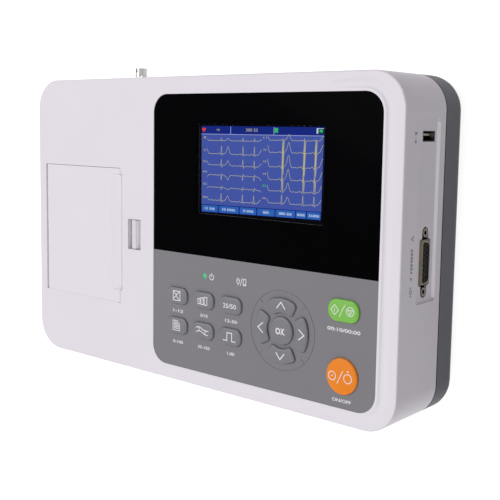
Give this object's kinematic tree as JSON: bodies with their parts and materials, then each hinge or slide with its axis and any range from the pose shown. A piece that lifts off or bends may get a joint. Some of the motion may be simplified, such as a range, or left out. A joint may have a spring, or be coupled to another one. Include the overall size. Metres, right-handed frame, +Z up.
{
  "type": "electrocardiograph",
  "caption": "Flat portable heart-trace recorder with a colour display, soft keypad and a thermal strip printer under a hinged paper door.",
  "frame": {"origin": "on the table, under the middle of the whole footprint, rear earth post included", "axes": "+X to the right of the person reading the face, +Y to the rear, +Z up out of the control face"},
  "size_m": [0.315, 0.208, 0.0715],
  "materials": {
    "case_ivory": "fine-grained moulded plastic",
    "case_slate": "fine-grained moulded plastic",
    "black_rubber": "smooth matt rubber",
    "zinc_steel": "zinc-plated turned steel",
    "spring_steel": "drawn spring wire",
    "window_black": "polished sheet, black behind, clear over the display",
    "overlay_grey": "satin printed film",
    "sheet_steel": "plain sheet steel",
    "display_face": "smooth display glass",
    "key_grey": "satin moulded silicone",
    "key_green": "satin moulded silicone",
    "key_orange": "satin moulded silicone",
    "mat_rubber": "soft moulded silicone",
    "board_green": "solder-masked glass laminate",
    "lamp_green": "clear tinted light pipe",
    "latch_grey": "fine-grained moulded plastic",
    "gear_white": "moulded acetal",
    "motor_can": "drawn steel can",
    "brass": "turned brass",
    "head_ceramic": "glazed ceramic strip",
    "sink_alloy": "extruded aluminium",
    "well_grey": "moulded plastic",
    "spindle_black": "moulded plastic",
    "paper": "wound thermal paper on a card core",
    "chip_black": "moulded component bodies",
    "power_parts": "wound and cased components",
    "battery_wrap": "shrink-wrapped cells",
    "tinned_shell": "tin-plated drawn steel",
    "insert_black": "moulded glass-filled plastic",
    "tongue_grey": "moulded plastic",
    "nickel": "nickel-plated brass",
    "cable_film": "laminated flat cable"
  },
  "bodies": {
    "machine": {"upper_case": "case_ivory", "lower_case": "case_slate", "feet": "black_rubber", "case_screws": "zinc_steel", "display_window": "window_black", "keypad_overlay": "overlay_grey", "display_gasket": "black_rubber", "display_frame": "sheet_steel", "display_glass": "display_face", "keypad_mat": "mat_rubber", "key_board": "board_green", "light_pipes": "lamp_green", "board_screws": "zinc_steel", "latch_spring": "spring_steel", "idler_stud": "zinc_steel", "paper_motor": "motor_can", "printer_chassis": "sheet_steel", "print_head": "head_ceramic", "head_heat_sink": "sink_alloy", "head_springs": "spring_steel", "paper_well": "well_grey", "paper_spindle": "spindle_black", "main_board": "board_green", "board_components": "chip_black", "power_board": "board_green", "power_components": "power_parts", "battery_pack": "battery_wrap", "battery_cover": "case_slate", "cover_screws": "zinc_steel", "lead_socket_shell": "tinned_shell", "lead_socket_insert": "insert_black", "lead_socket_jackscrews": "tinned_shell", "usb_shell": "tinned_shell", "usb_tongue": "tongue_grey", "mains_inlet": "insert_black", "inlet_blades": "brass", "earth_post": "nickel", "flat_cables": "cable_film"},
    "door": {"paper_door": "case_ivory", "door_hinge_pins": "zinc_steel"},
    "latch": {"door_latch": "latch_grey"},
    "platen": {"platen_shaft": "zinc_steel", "platen_rubber": "black_rubber", "platen_gear": "gear_white"},
    "idler": {"idler_gear": "gear_white"},
    "rotor": {"motor_pinion": "brass"},
    "roll": {"paper_roll": "paper"},
    "button_mode": {"key_mode": "key_grey"},
    "button_gain": {"key_gain": "key_grey"},
    "button_speed": {"key_speed": "key_grey"},
    "button_print": {"key_print": "key_grey"},
    "button_filter": {"key_filter": "key_grey"},
    "button_cal": {"key_cal": "key_grey"},
    "button_up": {"key_up": "key_grey"},
    "button_down": {"key_down": "key_grey"},
    "button_left": {"key_left": "key_grey"},
    "button_right": {"key_right": "key_grey"},
    "button_ok": {"key_ok": "key_grey"},
    "button_start": {"key_start": "key_green"},
    "button_power": {"key_power": "key_orange"}
  },
  "joints": [
    {"name": "door_hinge", "type": "hinge", "parent": "machine", "child": "door", "pos_m": [-0.1466, -0.0124, 0.0675], "axis": [0, -1, 0], "range_deg": [0, 90]},
    {"name": "latch_slide", "type": "slide", "parent": "machine", "child": "latch", "axis": [1, 0, 0], "range_m": [0, 0.0025], "stiffness_N_per_m": 700, "springref_m": -0.002, "deforming": ["latch_spring"]},
    {"name": "platen_spin", "type": "hinge", "parent": "door", "child": "platen", "pos_m": [-0.0755, -0.01005, 0.0575], "axis": [0, 1, 0], "continuous": true},
    {"name": "idler_spin", "type": "hinge", "parent": "machine", "child": "idler", "pos_m": [-0.07777, -0.0561, 0.04138], "axis": [0, 1, 0], "continuous": true},
    {"name": "motor_spin", "type": "hinge", "parent": "machine", "child": "rotor", "pos_m": [-0.06768, -0.0561, 0.03229], "axis": [0, 1, 0], "continuous": true},
    {"name": "roll_spin", "type": "hinge", "parent": "machine", "child": "roll", "pos_m": [-0.114, -0.01005, 0.041], "axis": [0, 1, 0], "continuous": true},
    {"name": "press_mode", "type": "slide", "parent": "machine", "child": "button_mode", "axis": [0, 0, -1], "range_m": [0, 0.0008], "stiffness_N_per_m": 500, "springref_m": -0.0004},
    {"name": "press_gain", "type": "slide", "parent": "machine", "child": "button_gain", "axis": [0, 0, -1], "range_m": [0, 0.0008], "stiffness_N_per_m": 500, "springref_m": -0.0004},
    {"name": "press_speed", "type": "slide", "parent": "machine", "child": "button_speed", "axis": [0, 0, -1], "range_m": [0, 0.0008], "stiffness_N_per_m": 500, "springref_m": -0.0004},
    {"name": "press_print", "type": "slide", "parent": "machine", "child": "button_print", "axis": [0, 0, -1], "range_m": [0, 0.0008], "stiffness_N_per_m": 500, "springref_m": -0.0004},
    {"name": "press_filter", "type": "slide", "parent": "machine", "child": "button_filter", "axis": [0, 0, -1], "range_m": [0, 0.0008], "stiffness_N_per_m": 500, "springref_m": -0.0004},
    {"name": "press_cal", "type": "slide", "parent": "machine", "child": "button_cal", "axis": [0, 0, -1], "range_m": [0, 0.0008], "stiffness_N_per_m": 500, "springref_m": -0.0004},
    {"name": "press_up", "type": "slide", "parent": "machine", "child": "button_up", "axis": [0, 0, -1], "range_m": [0, 0.0008], "stiffness_N_per_m": 500, "springref_m": -0.0004},
    {"name": "press_down", "type": "slide", "parent": "machine", "child": "button_down", "axis": [0, 0, -1], "range_m": [0, 0.0008], "stiffness_N_per_m": 500, "springref_m": -0.0004},
    {"name": "press_left", "type": "slide", "parent": "machine", "child": "button_left", "axis": [0, 0, -1], "range_m": [0, 0.0008], "stiffness_N_per_m": 500, "springref_m": -0.0004},
    {"name": "press_right", "type": "slide", "parent": "machine", "child": "button_right", "axis": [0, 0, -1], "range_m": [0, 0.0008], "stiffness_N_per_m": 500, "springref_m": -0.0004},
    {"name": "press_ok", "type": "slide", "parent": "machine", "child": "button_ok", "axis": [0, 0, -1], "range_m": [0, 0.0008], "stiffness_N_per_m": 500, "springref_m": -0.0004},
    {"name": "press_start", "type": "slide", "parent": "machine", "child": "button_start", "axis": [0, 0, -1], "range_m": [0, 0.0008], "stiffness_N_per_m": 500, "springref_m": -0.0004},
    {"name": "press_power", "type": "slide", "parent": "machine", "child": "button_power", "axis": [0, 0, -1], "range_m": [0, 0.0008], "stiffness_N_per_m": 500, "springref_m": -0.0004}
  ],
  "couplings": [
    {"joint": "idler_spin", "follows": "platen_spin", "ratio": -0.8},
    {"joint": "motor_spin", "follows": "platen_spin", "ratio": 1.6}
  ]
}
